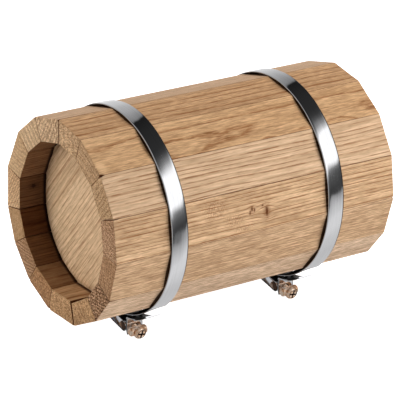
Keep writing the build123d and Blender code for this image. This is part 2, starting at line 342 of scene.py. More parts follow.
class Oak:
    """Oak as a solid texture: rings round a pith, with pores drawn out along the grain.

    A piece's grain basis is (along the grain, across, depth), and its pith is in (across, depth).
    """

    def __init__(self, name, basis, origin, seed, look):
        self.look = {**OAK, **look}
        self.seed = seed
        self.material, self.graph, self.shader = new_material(name)
        graph = self.graph
        coordinates = graph.add("ShaderNodeTexCoord")
        place = graph.vector("SUBTRACT", coordinates.outputs["Object"], tuple(origin))
        normal = coordinates.outputs["Normal"]
        self.along, self.across, self.depth = [
            graph.vector("DOT_PRODUCT", place, tuple(axis)) for axis in basis
        ]
        facing_along, facing_across, facing_out = [
            graph.vector("DOT_PRODUCT", normal, tuple(axis)) for axis in basis
        ]
        self.end_grain = graph.spread(graph.math("ABSOLUTE", facing_along), 0.75, 0.95)
        self.inside = graph.spread(facing_out, -0.6, -0.9)
        self.outside = graph.spread(facing_out, 0.3, 0.8)
        self.joint_side = graph.spread(graph.math("ABSOLUTE", facing_across), 0.55, 0.85)
        self.finish()

    def stretched(self, along_scale, side_scale, shift=0.0):
        """Seeded coordinates, in cycles per metre along the grain and to its sides."""
        graph = self.graph
        return graph.combine(
            graph.math("MULTIPLY_ADD", self.along, along_scale, self.seed * 7.13 + shift),
            graph.math("MULTIPLY_ADD", self.across, side_scale, self.seed * 3.71 - shift),
            graph.math("MULTIPLY_ADD", self.depth, side_scale, self.seed * 5.37 + shift),
        )

    def centred(self, vector, detail=2.0):
        """Noise about zero."""
        return self.graph.math("SUBTRACT", self.graph.noise(vector, detail=detail), 0.5)

    def nearness(self, along, across, half_length, half_width, ragged=0.0):
        """1 at a spot on the face, falling to 0 at its edge."""
        graph = self.graph
        offset = graph.combine(
            graph.math("MULTIPLY", graph.math("SUBTRACT", self.along, along), 1 / half_length),
            graph.math("MULTIPLY", graph.math("SUBTRACT", self.across, across), 1 / half_width),
            0.0,
        )
        distance = graph.vector("LENGTH", offset)
        if ragged:
            distance = graph.math("MULTIPLY_ADD", self.centred(self.stretched(900, 900, 5)), ragged, distance)
        return graph.spread(distance, 0.25, 1.0, 1.0, 0.0)

    def past(self, place, reach):
        """How far along the grain a point is past a reach either side of a place."""
        graph = self.graph
        distance = graph.math("ABSOLUTE", graph.math("SUBTRACT", self.along, place))
        return graph.math("SUBTRACT", distance, reach)

    def by_end(self, on_end, elsewhere):
        """One value on end grain and another on long grain."""
        return self.graph.math("MULTIPLY_ADD", self.end_grain, on_end - elsewhere, elsewhere)

    def rings(self):
        """The early part of each ring, 1 where the pores are, and the ring's own smooth shade."""
        graph, look = self.graph, self.look
        slow = self.centred(self.stretched(look["slow"], 18))
        quick = self.centred(self.stretched(look["quick"], 80, 11))
        sway = graph.math("MULTIPLY", slow, 14 * MM * look["wave"])
        sway = graph.math("MULTIPLY_ADD", quick, 2.2 * MM * look["wave"], sway)
        across = graph.math("ADD", self.across, sway)
        for along, place, half_length, half_width in look["knots"]:
            near = self.nearness(along, place, half_length * 7, half_width * 1.8)
            side = graph.math("SUBTRACT", self.across, place)
            across = graph.math("SUBTRACT", across, graph.product(near, graph.math("MULTIPLY", side, 0.6)))
        pith_across, pith_depth = [value * MM for value in look["pith"]]
        ring_across = graph.math("SUBTRACT", across, pith_across)
        ring_depth = graph.math("SUBTRACT", graph.math("MULTIPLY_ADD", sway, 0.6, self.depth), pith_depth)
        distance = graph.vector("LENGTH", graph.combine(ring_across, ring_depth, 0.0))
        uneven_place = graph.combine(graph.math("MULTIPLY", distance, 150.0), self.seed * 1.9, 0.0)
        uneven = graph.math("MULTIPLY", graph.noise(uneven_place, detail=1.0), 2.6)
        part = graph.math("FRACT", graph.math("MULTIPLY_ADD", distance, 1 / (look["pitch"] * MM), uneven))
        early = graph.product(
            graph.spread(part, 0.0, 0.10), graph.spread(part, 0.12, look["band"], 1.0, 0.0)
        )
        return early, graph.spread(part, 0.0, 1.0, 1.0, 0.0, smooth=False)

    def end_rows(self):
        """Rows of open pores across an end, broken up along their length."""
        graph = self.graph
        turn, pitch, strength = self.look["rows"]
        turn = radians(turn)
        place = graph.math(
            "MULTIPLY_ADD", self.across, cos(turn) / (pitch * MM),
            graph.math("MULTIPLY", self.depth, sin(turn) / (pitch * MM)),
        )
        place = graph.math("MULTIPLY_ADD", self.centred(self.stretched(0, 110, 7)), 1.3, place)
        part = graph.math("ABSOLUTE", graph.math("MULTIPLY_ADD", graph.math("FRACT", place), 2.0, -1.0))
        broken = graph.spread(graph.noise(self.stretched(0, 900, 13)), 0.34, 0.58, 0.65, 1.0)
        return graph.product(graph.spread(part, 0.40, 0.85), broken, strength)

    def plain_colour(self, shade, fine):
        """The wood's own shade and fibre, before its pores."""
        graph, look = self.graph, self.look
        streaks = graph.noise(self.stretched(26, 400, 71), detail=1.0)
        threads = graph.noise(self.stretched(70, 1000, 83))
        broad = graph.noise(self.stretched(12, 150, 29))
        patch = graph.spread(graph.noise(self.stretched(7, 30, 41), detail=1.0), 0.3, 0.7)
        ring_share = graph.math("MULTIPLY_ADD", shade, 0.35, graph.math("MULTIPLY", broad, 0.45))
        colour = graph.mix(ring_share, PALE, MIDDLE)
        patches = graph.mix(patch, rgba(0.94, 0.92, 0.89), rgba(1.03, 1.03, 1.02))
        colour = graph.mix(1.0, colour, patches, "MULTIPLY")
        for texture, amount in ((streaks, look["streaks"]), (threads, look["threads"]), (fine, look["fine"])):
            low = rgba(1 - amount, 1 - 1.15 * amount, 1 - 1.3 * amount)
            high = rgba(1 + 0.25 * amount, 1 + 0.27 * amount, 1 + 0.3 * amount)
            fibre = graph.mix(graph.spread(texture, 0.3, 0.7), low, high)
            colour = graph.mix(1.0, colour, fibre, "MULTIPLY")
        return colour

    def pore_shares(self, early):
        """How much of the lines of early wood, and of the scattered pores, shows at a point."""
        graph, look = self.graph, self.look
        dashes = graph.noise(self.stretched(look["dash"], 620, 3), detail=3.0, roughness=0.6)
        dashes = graph.math("MULTIPLY_ADD", graph.spread(dashes, 0.43, 0.56), 0.65, 0.35)
        line_depth = self.by_end(look["end_lines"], look["lines"])
        lines = graph.math("MULTIPLY", graph.product(early, dashes), line_depth, clamp=True)
        pores = graph.noise(self.stretched(85, 820, 23), detail=3.0, roughness=0.62)
        pores = graph.product(graph.spread(pores, 0.52, 0.66), self.by_end(look["end_pores"], look["pores"]))
        return lines, graph.product(pores, graph.math("MULTIPLY_ADD", early, 0.6, 0.4))

    def ended(self, colour):
        """The colour with what only end grain has, and the piece's own tone."""
        graph, look = self.graph, self.look
        mottle = graph.spread(graph.noise(self.stretched(60, 1050, 97)), 0.40, 0.60)
        dark_mottle = rgba(*[1 - look["mottle"] * share for share in (1.0, 1.1, 1.2)])
        mottled = graph.mix(mottle, dark_mottle, rgba(1.18, 1.18, 1.18))
        colour = graph.tint(self.end_grain, colour, mottled)
        colour = graph.tint(graph.product(self.end_rows(), self.end_grain), colour, ROW_TINT)
        tone = graph.mix(self.end_grain, rgba(*look["tone"]), rgba(*look["end_tone"]))
        return graph.mix(1.0, colour, tone, "MULTIPLY")

    def painted_shade(self, colour):
        """The colour with painted shade: darker on the inner faces, on the joint sides (with dirt), in the
        croze mouths at the heads, and with painted shadow under and beside the hoops.
        """
        graph, look = self.graph, self.look
        # Painted shade: the inner faces are darkened as far as the piece's inside amount says, for the shade
        # inside the barrel
        colour = graph.tint(graph.math("MULTIPLY", self.inside, look["inside"]), colour, INSIDE_SHADE_TINT)
        # Painted shade with dirt: the joints' side faces are darkened, for the shade deep in the gaps between
        # staves as well as dirt in the joints
        colour = graph.tint(graph.math("MULTIPLY", self.joint_side, look["sides"]), colour, JOINT_SHADE_AND_DIRT_TINT)
        # Painted shade: the inner wall is darkened towards the head, black in the mouth of the croze
        for place, reach in look["croze"]:
            shown = graph.spread(self.past(place, reach), -1.2 * MM, 0.8 * MM, 0.93, 0.0)
            colour = graph.tint(graph.product(shown, self.inside), colour, CROZE_SHADE_TINT)
        # Painted shadow: the outer face is darkened under each hoop and a little beyond its edges, widest
        # mid-flat where the band stands off
        for place, half_length, half_width in look["hoop_shadows"]:
            edge = graph.math("ABSOLUTE", graph.math("MULTIPLY", self.across, 1 / half_width))
            reach = graph.math(
                "MULTIPLY_ADD", graph.math("POWER", edge, 2.0), -HOOP_SHADOW_BULGE,
                half_length + HOOP_SHADOW_EDGE + HOOP_SHADOW_BULGE,
            )
            shown = graph.spread(self.past(place, reach), -0.2 * MM, 0.2 * MM, 0.95, 0.0)
            colour = graph.tint(graph.product(shown, self.outside), colour, HOOP_SHADOW_TINT)
        return colour

    def marked(self, colour):
        """The colour with its raw spots, flecks and knots."""
        graph, look = self.graph, self.look
        for spot in look["raw"]:
            shown = graph.math("MULTIPLY", self.nearness(*spot, 0.5), 0.55)
            colour = graph.mix(graph.product(shown, self.outside), colour, RAW)
        for spot in look["flecks"]:
            ticks = graph.spread(graph.noise(self.stretched(1500, 600, 57), detail=1.0), 0.48, 0.60)
            colour = graph.mix(graph.product(self.nearness(*spot, 0.6), ticks, 0.5), colour, LINE)
        for shown, spots, rim, centre in (
            (self.outside, look["knots"], LINE, KNOT),
            (self.inside, look["inner_knots"], DARK_KNOT, DARK_KNOT),
        ):
            for along, across, half_length, half_width in spots:
                halo = self.nearness(along, across, half_length * 3, half_width * 1.7, 0.9)
                colour = graph.mix(graph.product(halo, 0.5, shown), colour, rim)
                heart = self.nearness(along, across, half_length * 1.2, half_width * 1.1, 0.8)
                colour = graph.mix(graph.product(heart, 0.95, shown), colour, centre)
        return colour

    def finish(self):
        """Build the colour, roughness and relief."""
        graph, inputs = self.graph, self.shader.inputs
        early, shade = self.rings()
        fine = graph.noise(self.stretched(140, 1350, 17), detail=3.0, roughness=0.6)
        lines, pores = self.pore_shares(early)
        colour = graph.mix(lines, self.plain_colour(shade, fine), LINE)
        colour = graph.mix(pores, colour, PORE)
        graph.feed(inputs["Base Color"], self.marked(self.painted_shade(self.ended(colour))))
        dark = graph.math("ADD", lines, pores)
        graph.feed(inputs["Roughness"], graph.math("MULTIPLY_ADD", dark, 0.15, 0.58))
        relief = graph.math("MULTIPLY_ADD", dark, -1.0, graph.math("MULTIPLY", fine, 0.3))
        graph.feed(inputs["Normal"], graph.bump(relief, 0.6, 0.2 * MM))
        inputs["Specular IOR Level"].default_value = 0.12


# Painted shadow: oak is painted black under a hoop's steel, and further out where the band stands off the
# flat of a stave and shade falls in the gap
HOOP_SHADOW_EDGE = 0.30 * MM
HOOP_SHADOW_BULGE = 0.3 * MM
# Painted shade: the inner wall is painted black in the mouth of the croze, where the head's edge falls away
# into shade
CROZE_SHADE_REACH = 4.7 * MM

# What an oak piece looks like unless it says otherwise: ring pitch and pith in millimetres. Its inside is how
# much painted shade darkens its inner faces, and its sides how much painted gap shade, with dirt, darkens its
# joint sides
OAK = dict(
    tone=(1.0, 1.0, 1.0), end_tone=(0.8, 0.78, 0.76), inside=0.0,
    pitch=2.6, band=0.34, pith=(-50, -60), wave=0.5, slow=8, quick=34, dash=62,
    lines=0.80, pores=0.40, end_lines=0.45, end_pores=0.85, streaks=0.15, threads=0.15, fine=0.22, mottle=0.3,
    knots=(), inner_knots=(), flecks=(), raw=(), hoop_shadows=(), croze=(), rows=(0, 1.6, 0.25), sides=0.0,
)


def polished_steel(name):
    """Polished stainless strip with faint rolling marks and handling haze."""
    material, graph, shader = new_material(name)
    coordinates = graph.add("ShaderNodeTexCoord")
    stretched = graph.vector("MULTIPLY", coordinates.outputs["Object"], (900, 35, 35))
    rolling = graph.noise(stretched, detail=3.0)
    haze = graph.noise(coordinates.outputs["Object"], scale=60.0, detail=3.0)
    roughness = graph.math("MULTIPLY_ADD", graph.spread(haze, 0.35, 0.7), 0.07, 0.05)
    graph.feed(shader.inputs["Roughness"], roughness)
    shader.inputs["Metallic"].default_value = 1.0
    graph.feed(shader.inputs["Base Color"], graph.mix(rolling, srgb(214, 214, 216), srgb(230, 230, 232)))
    graph.feed(shader.inputs["Normal"], graph.bump(rolling, 0.12, 0.02 * MM))
    return material


def flat_metal(name, colour, roughness, metallic=1.0):
    """Dull metal with faint marks."""
    material, graph, shader = new_material(name)
    coordinates = graph.add("ShaderNodeTexCoord")
    marks = graph.noise(coordinates.outputs["Object"], scale=900.0, detail=3.0)
    shader.inputs["Metallic"].default_value = metallic
    darker = rgba(*[part * 0.6 for part in colour[:3]])
    graph.feed(shader.inputs["Base Color"], graph.mix(marks, darker, colour))
    shader.inputs["Roughness"].default_value = roughness
    graph.feed(shader.inputs["Normal"], graph.bump(marks, 0.2, 0.02 * MM))
    return material


def copper(name):
    """Bright copper plating, duller and browner in patches."""
    material, graph, shader = new_material(name)
    coordinates = graph.add("ShaderNodeTexCoord")
    patches = graph.noise(coordinates.outputs["Object"], scale=420.0, detail=3.0)
    grain = graph.noise(coordinates.outputs["Object"], scale=2600.0, detail=2.0)
    shader.inputs["Metallic"].default_value = 0.7
    worn = graph.spread(patches, 0.35, 0.68)
    graph.feed(shader.inputs["Base Color"], graph.mix(worn, srgb(255, 234, 214), srgb(236, 188, 148)))
    graph.feed(shader.inputs["Roughness"], graph.math("MULTIPLY_ADD", patches, 0.2, 0.14))
    graph.feed(shader.inputs["Normal"], graph.bump(grain, 0.25, 0.03 * MM))
    return material


# ---------------------------------------------------------------- staves
ARRIS = 0.35 * MM
END_ROUND = 0.3 * MM
FACE_RELIEF = 0.06 * MM
GAP = 0.07 * MM
CORNER_STEPS = 3
# A stave's section has an outer side, a joint side, an inner side and the other joint side
OUTER_SIDE = 0
SIDE_STEPS = (22, 8, 14, 8)
END_STATIONS = [v * MM for v in (0, 0.08, 0.2, 0.4, 0.7, 1.2, 2, 3, 4.5, 6.5, 9, 12)]
MIDDLE_STEP = 4 * MM
CROZE_EDGE = 0.02 * MM
# Where the staves begin to be past the heads, and where to look for the crozes
GAPE_FROM = 90 * MM
CROZE_FROM = 70 * MM
FRONT_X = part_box("stave_01")[0].x

# Joints that stand open: (stave before the joint, place along X, half length, width)
OPEN_JOINTS = (
    (8, FRONT_X, 40 * MM, 1.15 * MM),
    (4, FRONT_X, 6 * MM, 0.40 * MM),
    (4, 5 * MM, 50 * MM, 0.10 * MM),
    (1, FRONT_X, 20 * MM, 0.45 * MM),
    (6, FRONT_X, 15 * MM, 0.50 * MM),
    (12, FRONT_X, 20 * MM, 0.20 * MM),
)
# How far more the joints' inner arrises gape where the heads stand back: little, apart from these
GAPE = 0.1 * MM
GAPES = {8: 0.6 * MM, **dict.fromkeys(range(9, 15), 0.35 * MM)}
# Staves whose inner arris at the joint after them is thinned away where the heads stand back
WANES = {8: 1.3 * MM}
# Knocked corners: (stave before the joint, end, depth, length along X, width)
CHIPS = (
    (3, -1, 1.6 * MM, 3.0 * MM, 2.6 * MM),
    (7, -1, 0.7 * MM, 1.5 * MM, 1.5 * MM),
    (9, -1, 0.9 * MM, 2.0 * MM, 2.0 * MM),
    (10, -1, 0.7 * MM, 1.6 * MM, 2.2 * MM),
    (1, -1, 0.6 * MM, 1.6 * MM, 2.2 * MM),
    (15, -1, 0.6 * MM, 1.4 * MM, 2.0 * MM),
    (5, 1, 0.8 * MM, 1.8 * MM, 1.8 * MM),
    (12, 1, 1.1 * MM, 2.4 * MM, 2.2 * MM),
)


def stave_section(number):
    """A CAD stave's two joint angles, its inner and outer corner radii and its places along X."""
    vertices = [v.co for v in frame["nodes"][f"stave_{number:02d}"].data.vertices]
    end_x = min(v.x for v in vertices)
    ends = [v for v in vertices if v.x < end_x + 1e-5]
    centre = sum(ends, Vector()) / len(ends)
    middle = ring_angle(centre.y, centre.z)
    offsets = [remainder(ring_angle(v.y, v.z) - middle, tau) for v in ends]
    radii = [hypot(v.y - AXIS.y, v.z - AXIS.z) for v in ends]
    return middle + min(offsets), middle + max(offsets), min(radii), max(radii)


def past_heads(x):
    """1 outside the heads, falling quickly to 0 between them."""
    return min(1.0, abs(x) / GAPE_FROM) ** 8


def joint_gap(joint, x):
    """How far a joint stands open at a place along X, outside and inside."""
    ragged = noise.noise(Vector((x * 60, joint * 3.7, 0.5)))
    width = GAP * (1 + 0.8 * ragged)
    for open_joint, place, half_length, opening in OPEN_JOINTS:
        if open_joint == joint:
            width += opening * max(0.0, 1 - (abs(x - place) / half_length) ** 1.5)
    return width, width + GAPES.get(joint, GAPE) * past_heads(x)


def section_loop(start, end, inner, outer, start_gap, end_gap, wane, in_croze):
    """One closed loop round a stave's section, as (point, number of its side) pairs."""
    corners = []
    for radius, angle, gap, side in (
        (outer, start, start_gap[0], 1), (outer, end, end_gap[0], -1),
        (inner + wane, end, end_gap[1], -1), (inner, start, start_gap[1], 1),
    ):
        along = Vector((-cos(angle), -sin(angle)))
        corners.append(ring_point(radius, angle) + along * side * gap / 2)
    loop = []
    for index, corner in enumerate(corners):
        before = (corners[index - 1] - corner).normalized()
        after = (corners[(index + 1) % 4] - corner).normalized()
        far = corners[(index + 1) % 4]
        entry, leave = corner + before * ARRIS, corner + after * ARRIS
        for step in range(CORNER_STEPS + 1):
            t = step / CORNER_STEPS
            loop.append((entry.lerp(corner, t).lerp(corner.lerp(leave, t), t), index))
        finish = far - after * ARRIS
        for step in range(1, SIDE_STEPS[index]):
            loop.append((leave.lerp(finish, step / SIDE_STEPS[index]), index))
    if in_croze:
        loop = [(croze_point(point, index, inner, outer), index) for point, index in loop]
    return loop


def croze_point(point, side, inner, outer):
    """Push a point of a section out, so that its inner side is at the croze's floor."""
    if side == OUTER_SIDE:
        return point
    offset = point - Vector((AXIS.y, AXIS.z))
    share = max(0.0, min(1.0, (offset.length - inner) / (outer - inner)))
    radius = CROZE_RADIUS + share * (outer - CROZE_RADIUS)
    return Vector((AXIS.y, AXIS.z)) + offset.normalized() * radius


def end_inset(number, joints, x, low_x, high_x, point):
    """How far a stave's surface is worn back near its ends."""
    inset = 0.0
    for side, distance in ((-1, x - low_x), (1, high_x - x)):
        ragged = 0.5 + noise.noise(Vector((point.x, point.y, number * 0.11)) * 330)
        radius = END_ROUND * (1 + 0.7 * ragged)
        if distance < radius:
            inset += radius - sqrt(radius**2 - (radius - distance) ** 2)
        for joint, chip_side, depth, length, width in CHIPS:
            if chip_side == side and joint in joints and distance < length:
                corner = ring_point(joints[joint][1], joints[joint][0])
                nearness = max(0.0, 1 - ((point - corner).length / width) ** 2)
                inset += depth * nearness * (1 - distance / length) ** 1.3 * (0.7 + 0.6 * ragged)
    return inset


def stave_stations(number, low_x, high_x):
    """Places along X where a stave has a loop: close together at its ends and at the croze."""
    vertices = frame["nodes"][f"stave_{number:02d}"].data.vertices
    reached = [v.co.x for v in vertices if hypot(v.co.y - AXIS.y, v.co.z - AXIS.z) < CROZE_RADIUS + 0.1 * MM]
    within = [x for x in reached if low_x + 1 * MM < x < high_x - 1 * MM]
    croze = sorted({round(x, 5) for x in within if abs(x) > CROZE_FROM})
    stations = {low_x + v for v in END_STATIONS} | {high_x - v for v in END_STATIONS}
    edges = []
    for place in croze:
        edges += [place - CROZE_EDGE, place + CROZE_EDGE]
    steps = int((high_x - low_x) / MIDDLE_STEP)
    stations |= {low_x + (high_x - low_x) * step / steps for step in range(3, steps - 2)}
    stations = {x for x in stations if all(abs(x - edge) > 0.3 * MM for edge in edges)}
    return sorted(stations | set(edges)), croze


def stave_mesh(number):
    """One stave's mesh, the angle of its middle and the radius halfway through it.

    It has worn arrises, ragged ends, open joints and its croze grooves.
    """
    node = f"stave_{number:02d}"
    start, end, inner, outer = stave_section(number)
    low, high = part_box(node)
    stations, croze = stave_stations(number, low.x, high.x)
    before = (number - 2) % STAVE_COUNT + 1
    joints = {before: (start, outer), number: (end, outer)}
    centre = ring_point((inner + outer) / 2, (start + end) / 2)
    loops = []
    for x in stations:
        in_croze = len(croze) == 4 and (croze[0] < x < croze[1] or croze[2] < x < croze[3])
        gaps = joint_gap(before, x), joint_gap(number, x)
        loop = section_loop(start, end, inner, outer, *gaps, WANES.get(number, 0.0) * past_heads(x), in_croze)
        placed = []
        for point, side in loop:
            relief = 0.0
            if side == OUTER_SIDE:
                relief = FACE_RELIEF * noise.noise(Vector((x * 90, point.x * 400, point.y * 400)))
            inset = end_inset(number, joints, x, low.x, high.x, point)
            inwards = (centre - point).normalized()
            point = point + inwards * (inset + max(0.0, relief))
            placed.append(Vector((x, point.x, point.y)))
        loops.append(placed)
    mesh = mesh_from_loops(node + "_oak", loops, 40)
    return mesh, (start + end) / 2, (inner + outer) / 2


# Each stave's look; inside says how much painted shade darkens its inner faces
STAVE_LOOKS = {
    1: dict(
        tone=(1.12, 1.17, 1.31), end_tone=(1.24, 1.38, 1.51), pith=(-90, 0), pitch=2.2, wave=0.2,
        lines=0.38, pores=0.18, end_lines=0.90, end_pores=0.3, mottle=0.35, rows=(135, 2.9, 0.58),
        inside=0.75,
    ),
    2: dict(
        tone=(1.05, 0.99, 0.93), end_tone=(1.11, 1.15, 1.15), pith=(30, -60), pitch=2.6, wave=0.55,
        lines=0.78, pores=0.60, fine=0.32, mottle=0.38, rows=(10, 5.4, 0.24), inside=0.5,
    ),
    3: dict(
        tone=(1.18, 1.14, 1.07), end_tone=(0.93, 0.93, 0.89), pith=(6, -42), pitch=2.7, wave=0.8,
        slow=12, quick=60, dash=90, lines=0.68, pores=0.60, fine=0.28, rows=(95, 3.7, 0.28), inside=0.5,
        raw=((-0.1062, 0.0090, 4.5 * MM, 5.5 * MM),),
    ),
    4: dict(
        tone=(1.24, 1.33, 1.48), end_tone=(0.94, 0.95, 0.90), pith=(-80, -30), pitch=3.2, band=0.44,
        wave=0.35, lines=0.8, pores=0.38, fine=0.10, mottle=0.38, rows=(8, 4.4, 0.24), inside=0.5,
    ),
    5: dict(
        tone=(1.20, 1.24, 1.28), end_tone=(1.01, 0.97, 0.99), pith=(90, -40), pitch=2.3, wave=0.35,
        lines=0.95, pores=0.38, end_pores=0.55, streaks=0.22, fine=0.24, mottle=0.50,
        rows=(143, 3.0, 0.40), inside=0.5,
        knots=(
            (0.0062, 0.0031, 1.3 * MM, 4.4 * MM), (-0.0054, -0.0006, 0.8 * MM, 2.2 * MM),
            (-0.0036, 0.0004, 0.5 * MM, 1.6 * MM), (-0.0070, 0.0016, 0.5 * MM, 1.6 * MM),
            (0.0030, -0.0016, 0.8 * MM, 0.7 * MM),
        ),
        flecks=(
            (-0.034, -0.006, 13 * MM, 10 * MM), (-0.012, 0.0105, 11 * MM, 3.5 * MM),
            (-0.020, 0.004, 10 * MM, 6 * MM),
        ),
    ),
    6: dict(
        tone=(1.16, 1.22, 1.30), end_tone=(0.80, 0.73, 0.68), pith=(80, 10), pitch=1.9, wave=0.25,
        lines=0.57, pores=0.42, fine=0.36, rows=(95, 2.3, 0.35), inside=0.5,
    ),
    7: dict(
        tone=(1.33, 1.53, 1.88), end_tone=(1.05, 1.03, 1.07), pith=(60, -60), pitch=2.1, wave=0.25,
        lines=0.38, pores=0.42, end_lines=0.83, end_pores=1.0, fine=0.44, mottle=0.75,
        rows=(44, 2.44, 0.95), inside=0.5,
    ),
    8: dict(
        tone=(0.90, 0.85, 0.73), end_tone=(0.94, 0.89, 0.78), pith=(40, -40), pitch=2.3, wave=0.3,
        lines=0.60, pores=0.38, end_lines=0.45, mottle=0.38, rows=(32, 4.2, 0.27), inside=0.9,
    ),
    9: dict(
        tone=(0.90, 0.84, 0.74), end_tone=(0.94, 0.88, 0.77), pith=(-30, -60), end_lines=0.30,
        end_pores=0.60, mottle=0.40, rows=(20, 4.0, 0.30), inside=0.2,
    ),
    10: dict(
        tone=(0.97, 0.91, 0.80), end_tone=(0.77, 0.66, 0.55), pith=(20, -50), end_lines=0.38,
        end_pores=0.60, rows=(160, 3.4, 0.27), inside=0.6,
    ),
    11: dict(
        tone=(0.99, 0.93, 0.83), end_tone=(0.80, 0.74, 0.71), pith=(50, -50), pitch=1.8, end_lines=0.90,
        end_pores=0.25, mottle=0.25, rows=(141, 2.4, 0.68), inside=0.85,
    ),
    12: dict(
        tone=(0.93, 0.86, 0.79), end_tone=(0.73, 0.69, 0.60), pith=(-20, -55), end_lines=0.30,
        end_pores=0.3, mottle=0.06, rows=(12, 3.5, 0.13), inside=1.0,
    ),
    13: dict(
        tone=(0.86, 0.81, 0.73), end_tone=(1.12, 1.14, 1.12), pith=(55, 35), pitch=1.8, end_lines=0.68,
        end_pores=0.2, mottle=0.2, rows=(58, 2.16, 0.55), inside=0.85,
        inner_knots=((-0.0993, 0.0039, 2.0 * MM, 1.9 * MM),),
    ),
    14: dict(
        tone=(0.98, 0.92, 0.83), end_tone=(0.96, 1.00, 0.97), pith=(-80, 10), pitch=2.0, end_lines=0.60,
        end_pores=0.2, mottle=0.06, rows=(18, 2.85, 0.34), inside=0.75,
    ),
    15: dict(
        tone=(0.88, 0.83, 0.74), end_tone=(1.08, 1.18, 1.23), pith=(90, 0), pitch=2.0, end_lines=0.75,
        end_pores=0.2, mottle=0.1, rows=(11, 4.4, 0.50), inside=0.75,
    ),
}


def hoop_reach(end_name):
    """The middle of a hoop along X, and half its width."""
    low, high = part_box(f"{end_name}_hoop")
    return (low.x + high.x) / 2, (high.x - low.x) / 2


def head_middles():
    """Where each head's middle is along X."""
    boxes = [union_box(board_names(end_name)) for end_name in END_NAMES]
    return [(low.x + high.x) / 2 for low, high in boxes]


def build_staves():
    """All fifteen staves, each its own piece with its own cut of oak."""
    for number in range(1, STAVE_COUNT + 1):
        mesh, angle, radius = stave_mesh(number)
        outwards = Vector((0, -sin(angle), cos(angle)))
        across = Vector((0, -cos(angle), -sin(angle)))
        origin = AXIS + outwards * radius
        basis = ((1, 0, 0), across, outwards)
        start, end, _, _ = stave_section(number)
        half_width = tan((end - start) / 2) * radius
        # Painted shadow under and beside the hoops, painted shade in the croze mouths, and painted gap shade
        # with dirt on the joint sides
        hoop_shadows = [(*hoop_reach(end_name), half_width) for end_name in END_NAMES]
        croze = [(head_x, CROZE_SHADE_REACH) for head_x in head_middles()]
        look = dict(STAVE_LOOKS[number], sides=0.9, hoop_shadows=hoop_shadows, croze=croze)
        material = Oak(f"oak_stave_{number:02d}", basis, origin, number, look).material
        if number == BUNG_STAVE:
            mesh = cut(mesh, bung_cutter())
            shade(mesh, 40)
        mesh.materials.append(material)
        new_piece(mesh.name, mesh, "barrel", "stave_oak", f"stave_{number:02d}")


# ---------------------------------------------------------------- bung
BUNG_STAVE = 14
BUNG_AXIS = joint_axis("bung_pull")
BUNG_ROUNDING = 1.0 * MM
BUNG_CLEARANCE = 0.02 * MM
# The hole's points are within this of its axis, its cutter reaches past the stave, and its edge is broken
HOLE_WITHIN = 12 * MM
CUT_PAST = 4 * MM
HOLE_BEVEL = 0.5 * MM


def hole_reach(node):
    """(distance out, radius) of a hole's points round the bung's axis, nearest and furthest out."""
    pairs = []
    for vertex in frame["nodes"][node].data.vertices:
        offset = vertex.co - AXIS
        out = offset.dot(BUNG_AXIS)
        radius = (offset - BUNG_AXIS * out).length
        if out > 0 and radius < HOLE_WITHIN:
            pairs.append((out, radius))
    return min(pairs), max(pairs)


def bung_cutter():
    """The tapered hole through the bung stave, a little longer than the stave is thick."""
    (low, low_radius), (high, high_radius) = hole_reach(f"stave_{BUNG_STAVE:02d}")
    slope = (high_radius - low_radius) / (high - low)
    profile = [
        (low - CUT_PAST, low_radius - slope * CUT_PAST),
        (high - HOLE_BEVEL, high_radius - slope * HOLE_BEVEL),
        (high + CUT_PAST, high_radius + CUT_PAST),
    ]
    return lathe("bung_cutter", profile, AXIS, BUNG_AXIS, 128)


def build_bung():
    """A turned wooden bung with softened edges."""
    vertices = [v.co - AXIS for v in frame["nodes"]["bung"].data.vertices]
    outs = [v.dot(BUNG_AXIS) for v in vertices]
    low, high = min(outs), max(outs)
    radii = [(v - BUNG_AXIS * v.dot(BUNG_AXIS)).length for v in vertices]
    widest = max(radii)
    tip_radius = min(r for r, out in zip(radii, outs) if r > 5 * MM and out < low + 0.1 * MM)
    profile = [(low, 0.2 * MM), (low, tip_radius)]
    for turn in quarter(4):
        rise, spread = BUNG_ROUNDING * (1 - cos(turn)), BUNG_ROUNDING * sin(turn)
        profile.append((low + rise, tip_radius + spread * 0.98))
    profile.append((high - BUNG_ROUNDING, widest - BUNG_CLEARANCE))
    for turn in quarter(4):
        rise, tuck = BUNG_ROUNDING * sin(turn), BUNG_ROUNDING * (1 - cos(turn))
        profile.append((high - BUNG_ROUNDING + rise, widest - tuck - BUNG_CLEARANCE))
    profile += [(high, 3 * MM), (high - 0.1 * MM, 0.2 * MM)]
    mesh = lathe("bung_oak", profile, AXIS, BUNG_AXIS, 96)
    side = BUNG_AXIS.cross(Vector((1, 0, 0))).normalized()
    basis = (BUNG_AXIS, Vector((1, 0, 0)), side)
    look = dict(pith=(30, 20), tone=(0.9, 0.87, 0.82), wave=0.3)
    mesh.materials.append(Oak("oak_bung", basis, AXIS, 31, look).material)
    new_piece("bung_oak", mesh, "bung", "bung_wood", "bung")


# ---------------------------------------------------------------- heads
HEAD_FLAT = 44 * MM
HEAD_EDGE = 51.7 * MM
HEAD_RIM = 4.4 * MM
HEAD_CLEARANCE = 0.05 * MM
HEAD_STEPS = 10
SEAM_PLACES = (-17 * MM, 21 * MM)
SEAM_GAP = 0.04 * MM
GRAIN_TURN = {"front": radians(-47), "rear": radians(28)}
HEAD_SEGMENTS = 192
HEAD_LOOK = dict(
    tone=(1.19, 1.28, 1.35), pitch=3.1, wave=0.3, lines=0.62, pores=0.3, streaks=0.12, threads=0.10
)


